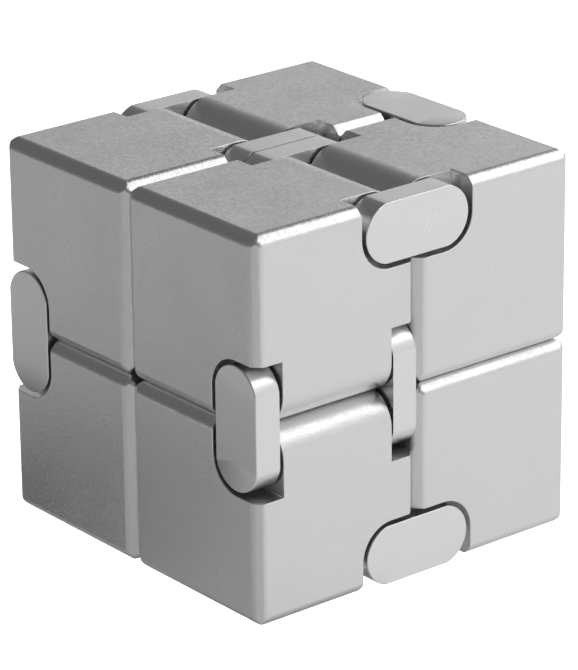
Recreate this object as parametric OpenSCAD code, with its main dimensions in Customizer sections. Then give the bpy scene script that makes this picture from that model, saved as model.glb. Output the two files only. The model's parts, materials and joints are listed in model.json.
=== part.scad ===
// Folding cube: eight solid metal blocks in a closed ring, joined by eight double-pivot
// hinges. Each hinge is two link plates and two steel pins. The closed cube stands on z = 0,
// centred on the Z axis. The left half folds about level hinges at its front and back, the
// right half about upright hinges, and hinges across the top and the bottom join the halves.

/* [Cube] */
// Edge of the closed cube
cube_w = 40; // [34:1:60]
// Gap between two neighbouring blocks
block_gap = 0.2; // [0.1:0.05:0.3]
// 45 degree chamfer along every edge of a block that holds no hinge
chamfer = 0.9; // [0.4:0.1:1.2]
// Radius of the rolled edges that hold the pins
roll_r = 3.25; // [3:0.05:4]

/* [Link plates] */
// Thickness of a link plate
plate_t = 2.9; // [2.4:0.1:3.4]
// How far a plate's rim lies inside the face of the cube
rim_inset = 0.15; // [0.05:0.05:0.3]
// Play between a plate and the floor of its pocket, along the pin
side_play = 0.3; // [0.1:0.05:0.5]
// Play between a plate's round end and the wall of its pocket
end_play = 0.5; // [0.2:0.05:0.8]

/* [Pins] */
// Diameter of a hinge pin
pin_d = 2.5; // [2:0.1:3]
// Radial clearance of a pin that turns in a block
pin_clearance = 0.05; // [0.02:0.01:0.1]
// Depth of the blind hole that holds each end of a pin in its plate
pin_seat = 1.9; // [1:0.1:2.2]

/* [Hidden] */
$fn = 96;
half = cube_w / 2;
near = block_gap / 2;             // where a block begins, counted from the cube's mid-planes
pin_off = near + roll_r;          // pin axis to the plane between its two blocks
pin_level = half - roll_r;        // pin axis to the cube's centre, square to the hinged face
plate_r = roll_r - rim_inset;     // round end of a link plate
pocket_r = plate_r + end_play;    // round corner of the pocket that the plate turns in
pocket_d = plate_t + side_play;   // depth of that pocket along the pin
past = 1;                         // how far a cutting tool reaches past what it cuts

// Blocks: name, and the side of each mid-plane that the block is on
BLOCKS = [for (x = [-1, 1], y = [-1, 1], z = [-1, 1]) [
    str("block_", x < 0 ? "left" : "right", "_", y < 0 ? "front" : "back", "_",
        z < 0 ? "bottom" : "top"),
    [x, y, z]
]];

// Hinges: name, direction along its pins from the cube's middle out to a face, direction
// across it from its first block to its second, outward normal of the face that it lies in,
// and a word for each of its two pins
HINGES = [
    ["front", [-1, 0, 0], [0, 0, 1], [0, -1, 0], "lower", "upper"],
    ["back", [-1, 0, 0], [0, 0, 1], [0, 1, 0], "lower", "upper"],
    ["top_front", [0, -1, 0], [1, 0, 0], [0, 0, 1], "left", "right"],
    ["top_back", [0, 1, 0], [1, 0, 0], [0, 0, 1], "left", "right"],
    ["bottom_front", [0, -1, 0], [1, 0, 0], [0, 0, -1], "left", "right"],
    ["bottom_back", [0, 1, 0], [1, 0, 0], [0, 0, -1], "left", "right"],
    ["right_top", [0, 0, 1], [0, 1, 0], [1, 0, 0], "front", "back"],
    ["right_bottom", [0, 0, -1], [0, 1, 0], [1, 0, 0], "front", "back"],
];

// The pin that is cut flush with its block, so that the ring can be opened at it
FLUSH_PIN = "pin_front_upper";

function plate_name(h, end) = str("link_", h[0], "_", end);
function pin_name(h, side) = str("pin_", h[0], "_", side < 0 ? h[4] : h[5]);

// Turns a hinge's own directions into the cube's: X runs out along the pins, Y across the
// hinge and Z out of the face that it lies in
module along(x, y, z) {
    multmatrix([for (i = [0:2]) [x[i], y[i], z[i], 0]]) children();
}

// Section of a block: a square with its free corners cut at 45 degrees. A rolled section has
// its corner nearest the Y axis, at full height, rounded about the pin instead
module block_section(rolled) {
    w = half - near;
    difference() {
        translate([near, near]) square(w);
        for (x = [near, half], y = [near, half])
            if (!(rolled && x == near && y == half))
                translate([x, y]) rotate(45) square(chamfer * sqrt(2), center = true);
        if (rolled) translate([near - past, pin_level]) square([roll_r + past, roll_r + past]);
    }
    if (rolled) translate([pin_off, pin_level]) circle(roll_r);
}

// One end of a hinge cut into the block on the -Y side of it: a pocket open to the hinged
// face, to the next block and to the end of the block
module pocket(from, to) {
    translate([from, -pin_off, pin_level]) {
        rotate([0, 90, 0]) cylinder(r = pocket_r, h = to - from);
        translate([0, -pocket_r, 0]) cube([to - from, pocket_r + roll_r + past, roll_r + past]);
        translate([0, 0, -pocket_r]) cube([to - from, roll_r + past, pocket_r + roll_r + past]);
    }
}

// Everything that a hinge cuts out of the block on the -Y side of it
module hinge_cut() {
    pocket(near - past, near + pocket_d);
    pocket(half - pocket_d, half + past);
    translate([0, -pin_off, pin_level]) rotate([0, 90, 0])
        cylinder(d = pin_d + 2 * pin_clearance, h = half);
}

// The block in the positive octant. Its rolled edges lie along X and along Y: the first is
// where its Y face meets the mid-plane below it, the second where its Z face meets the
// mid-plane beside it. A relieved block has a third one, without a hinge, along Z
module octant_block(relieved) {
    difference() {
        intersection() {
            along([0, 0, 1], [0, 1, 0], [1, 0, 0]) linear_extrude(half) block_section(true);
            along([1, 0, 0], [0, 0, 1], [0, 1, 0]) linear_extrude(half) block_section(true);
            along([0, 1, 0], [1, 0, 0], [0, 0, 1]) linear_extrude(half) block_section(relieved);
        }
        along([1, 0, 0], [0, 0, -1], [0, 1, 0]) hinge_cut();
        along([0, 1, 0], [-1, 0, 0], [0, 0, 1]) hinge_cut();
    }
}

// A block in its place. A right-hand block's rolled edges lie along Y and along Z, so it is
// the same block with X turned to Y, Y to Z and Z to X. The two at the back right meet in
// line with the level back hinge, so their edges there are relieved to clear each other
module block(side) {
    color("silver") translate([0, 0, half])
        mirror([min(side.x, 0), 0, 0]) mirror([0, min(side.y, 0), 0])
            mirror([0, 0, min(side.z, 0)])
                rotate(side.x > 0 ? [90, 0, 90] : [0, 0, 0])
                    octant_block(relieved = side.x > 0 && side.y > 0);
}

// A link plate with a blind hole for each pin
module link_plate(h, end) {
    from = end == "outer" ? half - plate_t : near;
    hole_from = end == "outer" ? from - past : from + plate_t - pin_seat;
    color("lightgray") translate([0, 0, half]) along(h[1], h[2], h[3])
        difference() {
            union() {
                for (side = [-1, 1])
                    translate([from, side * pin_off, pin_level]) rotate([0, 90, 0])
                        cylinder(r = plate_r, h = plate_t);
                translate([from, -pin_off, pin_level - plate_r])
                    cube([plate_t, 2 * pin_off, 2 * plate_r]);
            }
            for (side = [-1, 1])
                translate([hole_from, side * pin_off, pin_level]) rotate([0, 90, 0])
                    cylinder(d = pin_d, h = pin_seat + past);
        }
}

// A pin, pressed into both plates of its hinge
module hinge_pin(h, side) {
    flush = pin_name(h, side) == FLUSH_PIN;
    from = near + (flush ? pocket_d : plate_t - pin_seat);
    to = half - (flush ? pocket_d : plate_t - pin_seat);
    color("slategray") translate([0, 0, half]) along(h[1], h[2], h[3])
        translate([from, side * pin_off, pin_level]) rotate([0, 90, 0])
            cylinder(d = pin_d, h = to - from);
}

for (b = BLOCKS)
    block(b[1]);
for (h = HINGES, end = ["outer", "inner"])
    link_plate(h, end);
for (h = HINGES, side = [-1, 1])
    hinge_pin(h, side);
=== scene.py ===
import json
import math

import bmesh
import bpy
import numpy as np
from mathutils import Matrix, Vector

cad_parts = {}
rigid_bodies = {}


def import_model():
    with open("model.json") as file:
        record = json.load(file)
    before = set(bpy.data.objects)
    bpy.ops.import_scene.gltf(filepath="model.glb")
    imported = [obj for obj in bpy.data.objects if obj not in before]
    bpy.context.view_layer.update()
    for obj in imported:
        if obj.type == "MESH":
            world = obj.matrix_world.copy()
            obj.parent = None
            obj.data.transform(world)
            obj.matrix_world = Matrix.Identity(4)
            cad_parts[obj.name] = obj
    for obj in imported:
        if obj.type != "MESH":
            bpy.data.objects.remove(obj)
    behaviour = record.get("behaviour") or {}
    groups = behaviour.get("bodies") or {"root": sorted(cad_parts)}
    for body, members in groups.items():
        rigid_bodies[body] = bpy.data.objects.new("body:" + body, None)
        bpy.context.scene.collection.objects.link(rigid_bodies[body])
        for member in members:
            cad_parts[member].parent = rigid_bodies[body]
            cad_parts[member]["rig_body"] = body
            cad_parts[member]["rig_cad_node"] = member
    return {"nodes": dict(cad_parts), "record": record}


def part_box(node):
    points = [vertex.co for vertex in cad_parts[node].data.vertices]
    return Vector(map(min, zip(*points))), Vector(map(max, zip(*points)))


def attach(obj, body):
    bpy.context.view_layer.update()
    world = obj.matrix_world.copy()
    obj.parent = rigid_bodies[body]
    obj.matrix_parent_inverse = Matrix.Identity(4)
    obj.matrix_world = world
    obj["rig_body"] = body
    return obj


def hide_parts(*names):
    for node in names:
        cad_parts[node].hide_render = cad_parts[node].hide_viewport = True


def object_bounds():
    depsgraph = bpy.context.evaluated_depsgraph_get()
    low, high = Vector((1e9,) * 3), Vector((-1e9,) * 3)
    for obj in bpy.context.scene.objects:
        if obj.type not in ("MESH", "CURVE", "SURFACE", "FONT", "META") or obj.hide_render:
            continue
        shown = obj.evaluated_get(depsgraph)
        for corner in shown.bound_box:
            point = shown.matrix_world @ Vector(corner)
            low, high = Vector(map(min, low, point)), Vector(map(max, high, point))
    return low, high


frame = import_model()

MM = 0.001
cad_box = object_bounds()
CUBE_MIDDLE = np.array([list(corner) for corner in cad_box]).mean(axis=0)

# ------------------------------------------------------------ finishing sizes, in millimetres

SOFT_BREAK = 0.34        # round on the borders of a block's chamfers
POCKET_BREAK = 0.09      # round on its other sharp edges, which look crisper
PLATE_BREAK = 0.13       # round on the rim of a link plate
CRISP_BREAK = 0.03       # and on its other edges, which only lose their burr
CONTACT = 0.02           # half the hairline left between blocks once their clearance is hidden
REST_ZONE = 1.9          # how near the cube's middle planes a block is stretched to hide it
PIN_CHAMFER = 0.25       # lead-in at each end of a dowel pin
ROUND_STEPS = 4          # segments across each round
PIN_SIDES = 48           # segments round a pin
OUTLINE_STEPS = (32, 4, 8, 4)                # segments of a plate's round end, side, middle and side
WELD = 0.001             # points nearer than this are one

# ------------------------------------------------------------ angles, in degrees

FLAT = 0.5               # triangles that turn less than this are one flat face
CHAMFER_TURN = (25, 65)  # an edge that turns by an angle between these borders a chamfer
PLATE_CREASE = 12        # between a plate's straight sides and its round ends
SHARP_TURN = 40          # the least turn that stays sharp on a plate or a pin
FAINT_TURN = 8           # and the least along the crease of a plate

# ------------------------------------------------------------ helpers


def linear(code):
    """An sRGB hex colour as linear red, green, blue and alpha."""
    s = np.array([int(code[i:i + 2], 16) for i in (1, 3, 5)]) / 255
    return (*np.where(s <= 0.04045, s / 12.92, ((s + 0.055) / 1.055) ** 2.4).tolist(), 1.0)


def add(tree, kind, settings=None, links=None):
    """Adds a node. A key of settings is one of the node's attributes, or else the name or number
    of an input; links maps an input to the output that feeds it."""
    node = tree.nodes.new(kind)
    for key, value in (settings or {}).items():
        if isinstance(key, str) and hasattr(node, key):
            setattr(node, key, value)
        else:
            node.inputs[key].default_value = value
    for key, source in (links or {}).items():
        tree.links.new(source, node.inputs[key])
    return node


def mesh_piece(name, points, faces):
    """A mesh object at the origin, from an array of points in millimetres and its faces."""
    mesh = bpy.data.meshes.new(name)
    mesh.from_pydata((np.asarray(points) * MM).tolist(), [], faces)
    obj = bpy.data.objects.new(name, mesh)
    bpy.context.scene.collection.objects.link(obj)
    return obj


def grid_faces(rows, columns):
    """Quads between the rows of a grid of points whose columns close into a ring."""
    r, c = np.meshgrid(np.arange(rows - 1), np.arange(columns), indexing="ij")
    n = (c + 1) % columns
    quads = (r * columns + c, r * columns + n, (r + 1) * columns + n, (r + 1) * columns + c)
    return np.stack(quads, -1)


def close_seams(obj):
    """Merges the doubles of a made surface, drops what collapsed and points its faces outwards."""
    bm = bmesh.new()
    bm.from_mesh(obj.data)
    bmesh.ops.remove_doubles(bm, verts=bm.verts, dist=WELD * MM)
    bmesh.ops.dissolve_degenerate(bm, dist=WELD * MM, edges=bm.edges)
    bmesh.ops.recalc_face_normals(bm, faces=bm.faces)
    bm.to_mesh(obj.data)
    bm.free()


def flatten(obj):
    """Keeps the flat faces of a smoothly shaded piece flat, by weighting normals by face area."""
    weighted = obj.modifiers.new("flat_faces", "WEIGHTED_NORMAL")
    weighted.weight = 100
    return weighted


def smooth_rounds(obj, creased=None):
    """Smooth shading across the rounds of a made surface. Edges that run along the creased axis
    stay crisp from a fainter turn than the others."""
    obj.data.polygons.foreach_set("use_smooth", [True] * len(obj.data.polygons))
    obj.data.set_sharp_from_angle(angle=math.radians(SHARP_TURN))
    if creased is not None:
        bm = bmesh.new()
        bm.from_mesh(obj.data)
        for edge in bm.edges:
            run = edge.verts[1].co - edge.verts[0].co
            along = abs(run[creased]) > 0.999 * run.length
            if along and math.degrees(edge.calc_face_angle(0)) > FAINT_TURN:
                edge.smooth = False
        bm.to_mesh(obj.data)
        bm.free()
    flatten(obj).keep_sharp = True


def body_of(node):
    """The body that a node rides on."""
    return next(b for b, nodes in frame["record"]["behaviour"]["bodies"].items() if node in nodes)


def dress(obj, node, material):
    """Gives a piece its material and lets it stand for a node, riding where that rides."""
    obj.data.materials.clear()
    obj.data.materials.append(material)
    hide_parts(node)
    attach(obj, body_of(node))
    return obj


# ------------------------------------------------------------ materials

PIT = 0.35       # millimetres; bead pits are about 0.1 mm, too fine to show, and are drawn coarser
PIT_DEPTH = 0.025        # millimetres
GLINT = 0.065    # how far the pits change the roughness either way, at full grain
DRIFT = 7        # millimetres between patches of slightly different roughness


def satin_metal(name, tone, roughness, grain):
    """A bare metal surface with a satin finish. Its roughness drifts a little over a few
    millimetres. The pits of the finish, as deep as grain says, tilt the surface and change its
    roughness from point to point, so that wide highlights break into fine sparkle."""
    material = bpy.data.materials.new(name)
    material.use_nodes = True
    tree = material.node_tree
    tree.nodes.clear()
    place = add(tree, "ShaderNodeTexCoord")
    pits = add(tree, "ShaderNodeTexNoise", {"Scale": 1 / (PIT * MM), "Detail": 3.0, "Roughness": 0.6},
               {"Vector": place.outputs["Object"]})
    cloud = add(tree, "ShaderNodeTexNoise", {"Scale": 1 / (DRIFT * MM), "Detail": 3.0},
                {"Vector": place.outputs["Object"]})
    rough = add(tree, "ShaderNodeMapRange", {"From Min": 0.3, "From Max": 0.7,
                "To Min": roughness - 0.03, "To Max": roughness + 0.03}, {"Value": cloud.outputs["Fac"]})
    glint = add(tree, "ShaderNodeMapRange", {"From Min": 0.38, "From Max": 0.62,
                "To Min": -GLINT * grain, "To Max": GLINT * grain}, {"Value": pits.outputs["Fac"]})
    broken = add(tree, "ShaderNodeMath", {"operation": "ADD"},
                 {0: rough.outputs["Result"], 1: glint.outputs["Result"]})
    bump = add(tree, "ShaderNodeBump", {"Strength": grain, "Distance": PIT_DEPTH * MM},
               {"Height": pits.outputs["Fac"]})
    shader = add(tree, "ShaderNodeBsdfPrincipled", {"Base Color": linear(tone), "Metallic": 1.0},
                 {"Roughness": broken.outputs["Value"], "Normal": bump.outputs["Normal"]})
    add(tree, "ShaderNodeOutputMaterial", {}, {"Surface": shader.outputs["BSDF"]})
    return material


# taken as aluminium, bead-blasted and clear-anodised: an even grey satin with wide, softly
# sparkling highlights. The oxide film takes a little of the metal's brightness.
block_metal = satin_metal("bead_blasted_anodised_aluminium", "#ebebec", 0.36, 1.0)
# the same metal, taken as milled smooth before anodising: a little brighter and glossier, with
# hardly any grain
plate_metal = satin_metal("satin_milled_anodised_aluminium", "#f1f1f2", 0.30, 0.15)
# taken as ground steel: darker and glossier than the aluminium
pin_metal = satin_metal("ground_dowel_steel", "#b4b4b2", 0.22, 0.1)

# ------------------------------------------------------------ blocks


def close_up(obj):
    """Hides the clearance that the solid block has to its neighbours along x and z: the last
    REST_ZONE before the cube's middle plane is stretched in proportion, until the block's inner
    face is CONTACT short of that plane. The zone ends before the pin bores."""
    points = np.empty(len(obj.data.vertices) * 3)
    obj.data.vertices.foreach_get("co", points)
    points = points.reshape(-1, 3)
    zone = REST_ZONE * MM
    for axis in (0, 2):
        offset = points[:, axis] - CUBE_MIDDLE[axis]
        distance = np.abs(offset)
        stretch = (zone - CONTACT * MM) / (zone - distance.min())
        closer = np.minimum(distance, zone - (zone - distance) * stretch)
        points[:, axis] = CUBE_MIDDLE[axis] + np.sign(offset) * closer
    obj.data.vertices.foreach_set("co", points.ravel())


def finished_block(node):
    """The block with its coplanar triangles joined into whole faces, and its sharp edges rounded:
    the borders of its chamfers by the soft break, and every sharper edge by the pocket break."""
    obj = frame["nodes"][node].copy()
    obj.data = obj.data.copy()
    obj.name = node.replace("block_", "") + "_block"
    obj.parent = None
    del obj["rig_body"], obj["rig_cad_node"]   # the copy is a new piece
    bpy.context.scene.collection.objects.link(obj)
    bm = bmesh.new()
    bm.from_mesh(obj.data)
    bmesh.ops.remove_doubles(bm, verts=bm.verts, dist=WELD * MM)
    bmesh.ops.dissolve_limit(bm, angle_limit=math.radians(FLAT), verts=bm.verts, edges=bm.edges)
    share = bm.edges.layers.float.new("bevel_weight_edge")
    least, most = CHAMFER_TURN
    for edge in bm.edges:
        turn = math.degrees(edge.calc_face_angle(0))
        edge[share] = 0 if turn < least else 1 if turn < most else POCKET_BREAK / SOFT_BREAK
    bm.to_mesh(obj.data)
    bm.free()
    close_up(obj)
    obj.data.polygons.foreach_set("use_smooth", [True] * len(obj.data.polygons))
    rounds = obj.modifiers.new("edge_break", "BEVEL")
    rounds.width = SOFT_BREAK * MM
    rounds.segments = ROUND_STEPS
    rounds.limit_method = "WEIGHT"
    flatten(obj)
    return dress(obj, node, block_metal)


# ------------------------------------------------------------ link plates


def half_stadium(u, inset, radius, reach):
    """Outline of half a round-ended plate about its pin. u runs 0 to 4: 0 to 1 is the round end,
    an arc a little flatter than a half circle, so that it meets each side in a faint crease;
    1 to 2 is a straight side back to the plate's middle; 2 to 3 runs along the middle; 3 to 4 is
    the other side. The arc's radius is the plate's half width over the cosine of the crease."""
    r, end = radius - inset, radius / math.cos(math.radians(PLATE_CREASE)) - inset
    start = math.asin(r / end)
    turn = start * (2 * np.clip(u, 0, 1) - 1)
    centre = radius - inset - end
    side = centre + end * math.cos(start)
    back = np.clip(np.where(u <= 2, u - 1, 4 - u), 0, 1)
    x = np.where(u <= 1, centre + end * np.cos(turn), side - (reach + side) * back)
    y = np.where(u <= 1, end * np.sin(turn), r * (1 - 2 * np.clip(u - 2, 0, 1)))
    return np.stack([x, y], -1)


def pin_of(plate):
    """The first pin of the same hinge as a plate, in the order of their names."""
    hinge = plate.rsplit("_", 1)[0].replace("link_", "pin_")
    return next(n for n in sorted(frame["nodes"]) if n.rsplit("_", 1)[0] == hinge)


def link_plate(node):
    """A plate with two blind pin holes. Its section, from the hole's floor up its wall, out
    across the inner face, round the rim and in to the middle of the plain face, is carried
    round half the plate's outline; the other half is the same turned about the middle."""
    low, high = (np.array(c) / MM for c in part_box(node))
    size, middle = high - low, (low + high) / 2
    thin, wide, long = np.argsort(size)
    radius, reach, thick = size[wide] / 2, (size[long] - size[wide]) / 2, size[thin]
    pin_low, pin_high = (np.array(c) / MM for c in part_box(pin_of(node)))
    hole_r = np.sort(pin_high - pin_low)[0] / 2
    inward = np.sign(((pin_low + pin_high) / 2 - middle)[thin])
    seat = min(abs(pin_low[thin] - middle[thin]), abs(pin_high[thin] - middle[thin])) + thick / 2
    round_ = np.linspace(0, np.pi / 2, ROUND_STEPS + 1)
    shown = PLATE_BREAK if node.endswith("_outer") else CRISP_BREAK
    rim = [(CRISP_BREAK * (1 - np.sin(a)), CRISP_BREAK * (1 - np.cos(a))) for a in round_]
    rim += [(shown * (1 - np.sin(a)), thick - shown * (1 - np.cos(a))) for a in reversed(round_)]
    u = np.concatenate([np.linspace(i, i + 1, n, endpoint=False) for i, n in enumerate(OUTLINE_STEPS)])
    ring = half_stadium(u, 0, radius, reach)
    hole = hole_r * ring / np.linalg.norm(ring, axis=1, keepdims=True)
    levels = [(0 * hole, seat), (hole, seat), (hole, 0)]
    levels += [(half_stadium(u, d, radius, reach), h) for d, h in rim]
    levels += [(0 * hole, thick)]
    flat = np.concatenate([np.column_stack([p, np.full(len(u), h)]) for p, h in levels])
    quads = grid_faces(len(levels), len(u))
    between_halves = np.zeros(quads.shape[:2], bool)
    between_halves[3:3 + len(rim) - 1, (u >= 2) & (u < 3)] = True
    quads = quads[~between_halves]
    both, faces = [], []
    for way in (1, -1):
        p = np.zeros((len(flat), 3))
        p[:, long] = middle[long] + way * (reach + flat[:, 0])
        p[:, wide] = middle[wide] + way * flat[:, 1]
        p[:, thin] = middle[thin] + inward * (thick / 2 - flat[:, 2])
        faces += (quads + len(flat) * len(both)).tolist()
        both.append(p)
    obj = mesh_piece(node.replace("link_", "") + "_link_plate", np.concatenate(both), faces)
    close_seams(obj)
    smooth_rounds(obj, int(thin))
    return dress(obj, node, plate_metal)


# ------------------------------------------------------------ pins


def hinge_pin(node):
    """A ground dowel: its profile, from the middle of one end out over a chamfer, along its side
    and over the other chamfer, carried round the pin's axis."""
    low, high = (np.array(c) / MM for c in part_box(node))
    size, middle = high - low, (low + high) / 2
    along = int(np.argmax(size))
    across = [(along + 1) % 3, (along + 2) % 3]
    r, length = size[across[0]] / 2, size[along]
    profile = [(0, 0), (r - PIN_CHAMFER, 0), (r, PIN_CHAMFER), (r, length - PIN_CHAMFER),
               (r - PIN_CHAMFER, length), (0, length)]
    turn = np.linspace(0, 2 * np.pi, PIN_SIDES, endpoint=False)
    radius, height = (np.repeat(np.array(profile)[:, i], len(turn)) for i in (0, 1))
    turns = np.tile(turn, len(profile))
    p = np.zeros((len(turns), 3))
    p[:, across[0]] = middle[across[0]] + radius * np.cos(turns)
    p[:, across[1]] = middle[across[1]] + radius * np.sin(turns)
    p[:, along] = low[along] + height
    obj = mesh_piece(node.replace("pin_", "") + "_pin", p,
                     grid_faces(len(profile), len(turn)).reshape(-1, 4).tolist())
    close_seams(obj)
    smooth_rounds(obj)
    return dress(obj, node, pin_metal)


for name in sorted(frame["nodes"]):
    if name.startswith("block_"):
        finished_block(name)
    elif name.startswith("link_"):
        link_plate(name)
    else:
        hinge_pin(name)

# ------------------------------------------------------------ camera

AIM = Vector((0.0, -0.19, 19.6)) * MM
DISTANCE = 400 * MM
AZIMUTH, ELEVATION, ROLL = (math.radians(a) for a in (-38.91, 21.265, -0.638))
back = Vector((math.sin(AZIMUTH) * math.cos(ELEVATION),
               -math.cos(AZIMUTH) * math.cos(ELEVATION), math.sin(ELEVATION)))
camera = bpy.data.objects.new("camera", bpy.data.cameras.new("camera"))
bpy.context.scene.collection.objects.link(camera)
camera.location = AIM + back * DISTANCE
turned = (-back).to_track_quat("-Z", "Y").to_matrix() @ Matrix.Rotation(ROLL, 3, "Z")
camera.rotation_euler = turned.to_euler()
camera.data.sensor_width = 36
camera.data.lens = 213.6
camera.data.clip_start = 0.05
camera.data.clip_end = 20
bpy.context.scene.camera = camera
bpy.context.scene.view_settings.view_transform = "Standard"

# ------------------------------------------------------------ stage

PAINTED_LIGHT_SIDE = Vector((0.63, -0.77, 0))       # the way to the side of the reflection-only sheet with painted light, a paler grey for the metal to mirror
LIT_WALL = Vector((0.95, -0.31, 0))          # and to the middle of the lit wall
MIX_SHARE, MIX_A, MIX_B, MIX_RESULT = 0, 6, 7, 2      # sockets of a Mix node that mixes colours

# millimetres
FLOOR = -20.4            # a block's width under the cube, because the bottom fold swings that low
PAINTED_SHADOW_MIDDLE = Vector((-45, 62, FLOOR))           # the middle of a shadow painted on the reflection-only sheet, where its grey is deepest
PAINTED_SHADOW_REACH = (8, 42)     # the distance from there over which the painted shadow lightens
PAINTED_LIGHT_REACH = (-10, 50)                     # and from the cube's middle, over which the painted light comes in


def sheet(name, height, tones, glow=0.0):
    """A 6 m square of opal plastic at a height in millimetres, on the stage. Its grey is the first
    tone round PAINTED_SHADOW_MIDDLE, a painted shadow, the second away from there and the third,
    painted light, on the side toward PAINTED_LIGHT_SIDE. glow is the share of its own grey that
    it gives off as light of its own, evenly all over, so that shadows falling on it stay pale."""
    obj = mesh_piece(name, [(-3000, -3000, height), (3000, -3000, height), (3000, 3000, height),
                            (-3000, 3000, height)], [(0, 1, 2, 3)])
    opal = bpy.data.materials.new(name + "_opal")
    opal.use_nodes = True
    tree = opal.node_tree
    tree.nodes.clear()
    place = add(tree, "ShaderNodeTexCoord")
    # painted light: the share of the last, palest tone grows toward PAINTED_LIGHT_SIDE
    side = add(tree, "ShaderNodeVectorMath", {"operation": "DOT_PRODUCT", 1: PAINTED_LIGHT_SIDE},
               {0: place.outputs["Object"]})
    painted_light_share = add(tree, "ShaderNodeMapRange",
                 {"From Min": PAINTED_LIGHT_REACH[0] * MM, "From Max": PAINTED_LIGHT_REACH[1] * MM},
                 {"Value": side.outputs["Value"]})
    # painted shadow: the grey deepens toward PAINTED_SHADOW_MIDDLE
    far = add(tree, "ShaderNodeVectorMath", {"operation": "DISTANCE", 1: PAINTED_SHADOW_MIDDLE * MM},
              {0: place.outputs["Object"]})
    away = add(tree, "ShaderNodeMapRange",
               {"From Min": PAINTED_SHADOW_REACH[0] * MM, "From Max": PAINTED_SHADOW_REACH[1] * MM},
               {"Value": far.outputs["Value"]})
    painted_shadow_grey = add(tree, "ShaderNodeMix",
               {"data_type": "RGBA", MIX_A: linear(tones[0]), MIX_B: linear(tones[1])},
               {MIX_SHARE: away.outputs["Result"]})
    grey = add(tree, "ShaderNodeMix", {"data_type": "RGBA", MIX_B: linear(tones[2])},
               {MIX_SHARE: painted_light_share.outputs["Result"], MIX_A: painted_shadow_grey.outputs[MIX_RESULT]})
    matt = add(tree, "ShaderNodeBsdfDiffuse", {}, {"Color": grey.outputs[MIX_RESULT]})
    lit = add(tree, "ShaderNodeEmission", {"Strength": glow}, {"Color": grey.outputs[MIX_RESULT]})
    both = add(tree, "ShaderNodeAddShader", {}, {0: matt.outputs["BSDF"], 1: lit.outputs["Emission"]})
    add(tree, "ShaderNodeOutputMaterial", {}, {"Surface": both.outputs["Shader"]})
    obj.data.materials.append(opal)
    return obj


floor = sheet("floor", FLOOR, ["#f6f6f6"] * 3, glow=0.6)
floor.visible_glossy = False
# painted shade and painted light seen only in reflections: a sheet whose greys, from the painted shadow
# out to the painted light, are set so that the left faces come out darker; the lamps and the cube's real
# shadows fall on it as well
painted_shade_sheet = sheet("mirrored_floor", FLOOR + 0.05, ["#343434", "#949494", "#bcbcbc"])
painted_shade_sheet.visible_camera = painted_shade_sheet.visible_diffuse = painted_shade_sheet.visible_shadow = False
painted_shade_sheet.visible_transmission = False


def softbox(name, azimuth, elevation, distance, width, height, power):
    """A rectangular light aimed at the cube from an azimuth and an elevation in degrees. Its
    distance, width and height are in metres and its power in watts."""
    light = bpy.data.lights.new(name, "AREA")
    light.shape = "RECTANGLE"
    light.size, light.size_y, light.energy = width, height, power
    obj = bpy.data.objects.new(name, light)
    bpy.context.scene.collection.objects.link(obj)
    a, e = math.radians(azimuth), math.radians(elevation)
    way = Vector((math.sin(a) * math.cos(e), -math.cos(a) * math.cos(e), math.sin(e)))
    obj.location = Vector((0, 0, 20)) * MM + way * distance
    obj.rotation_euler = (-way).to_track_quat("-Z", "Y").to_euler()
    return obj


softbox("front_right_bank", 54, 44, distance=1.1, width=1.9, height=0.48, power=4.4)
overhead = softbox("overhead_scrim", 0, 89, distance=1.5, width=2.6, height=2.6, power=40)
low_front = softbox("low_front_scrim", 60, 24, distance=1.6, width=2.0, height=1.0, power=14)
overhead.visible_glossy = low_front.visible_glossy = False       # these two light the floor only


def studio_air(ceiling, wall):
    """A dim room with one lit wall. The wall's share of the light falls from the whole at 22
    degrees above the horizon to none at 38, and with the turn away from LIT_WALL."""
    world = bpy.data.worlds.new("studio")
    bpy.context.scene.world = world
    world.use_nodes = True
    tree = world.node_tree
    tree.nodes.clear()
    way = add(tree, "ShaderNodeTexCoord")
    parts = add(tree, "ShaderNodeSeparateXYZ", {}, {0: way.outputs["Generated"]})
    low = add(tree, "ShaderNodeMapRange", {"interpolation_type": "SMOOTHSTEP", "From Min": 0.62,
              "From Max": 0.38}, {"Value": parts.outputs["Z"]})
    turn = add(tree, "ShaderNodeVectorMath", {"operation": "DOT_PRODUCT", 1: LIT_WALL},
               {0: way.outputs["Generated"]})
    side = add(tree, "ShaderNodeMapRange", {"interpolation_type": "SMOOTHSTEP", "From Min": -0.2,
               "From Max": 0.5}, {"Value": turn.outputs["Value"]})
    share = add(tree, "ShaderNodeMath", {"operation": "MULTIPLY"},
                {0: low.outputs["Result"], 1: side.outputs["Result"]})
    air = add(tree, "ShaderNodeMapRange", {"To Min": ceiling, "To Max": wall},
              {"Value": share.outputs["Value"]})
    light = add(tree, "ShaderNodeBackground", {"Color": linear("#ffffff")},
                {"Strength": air.outputs["Result"]})
    add(tree, "ShaderNodeOutputWorld", {}, {"Surface": light.outputs["Background"]})


studio_air(ceiling=0.125, wall=0.70)
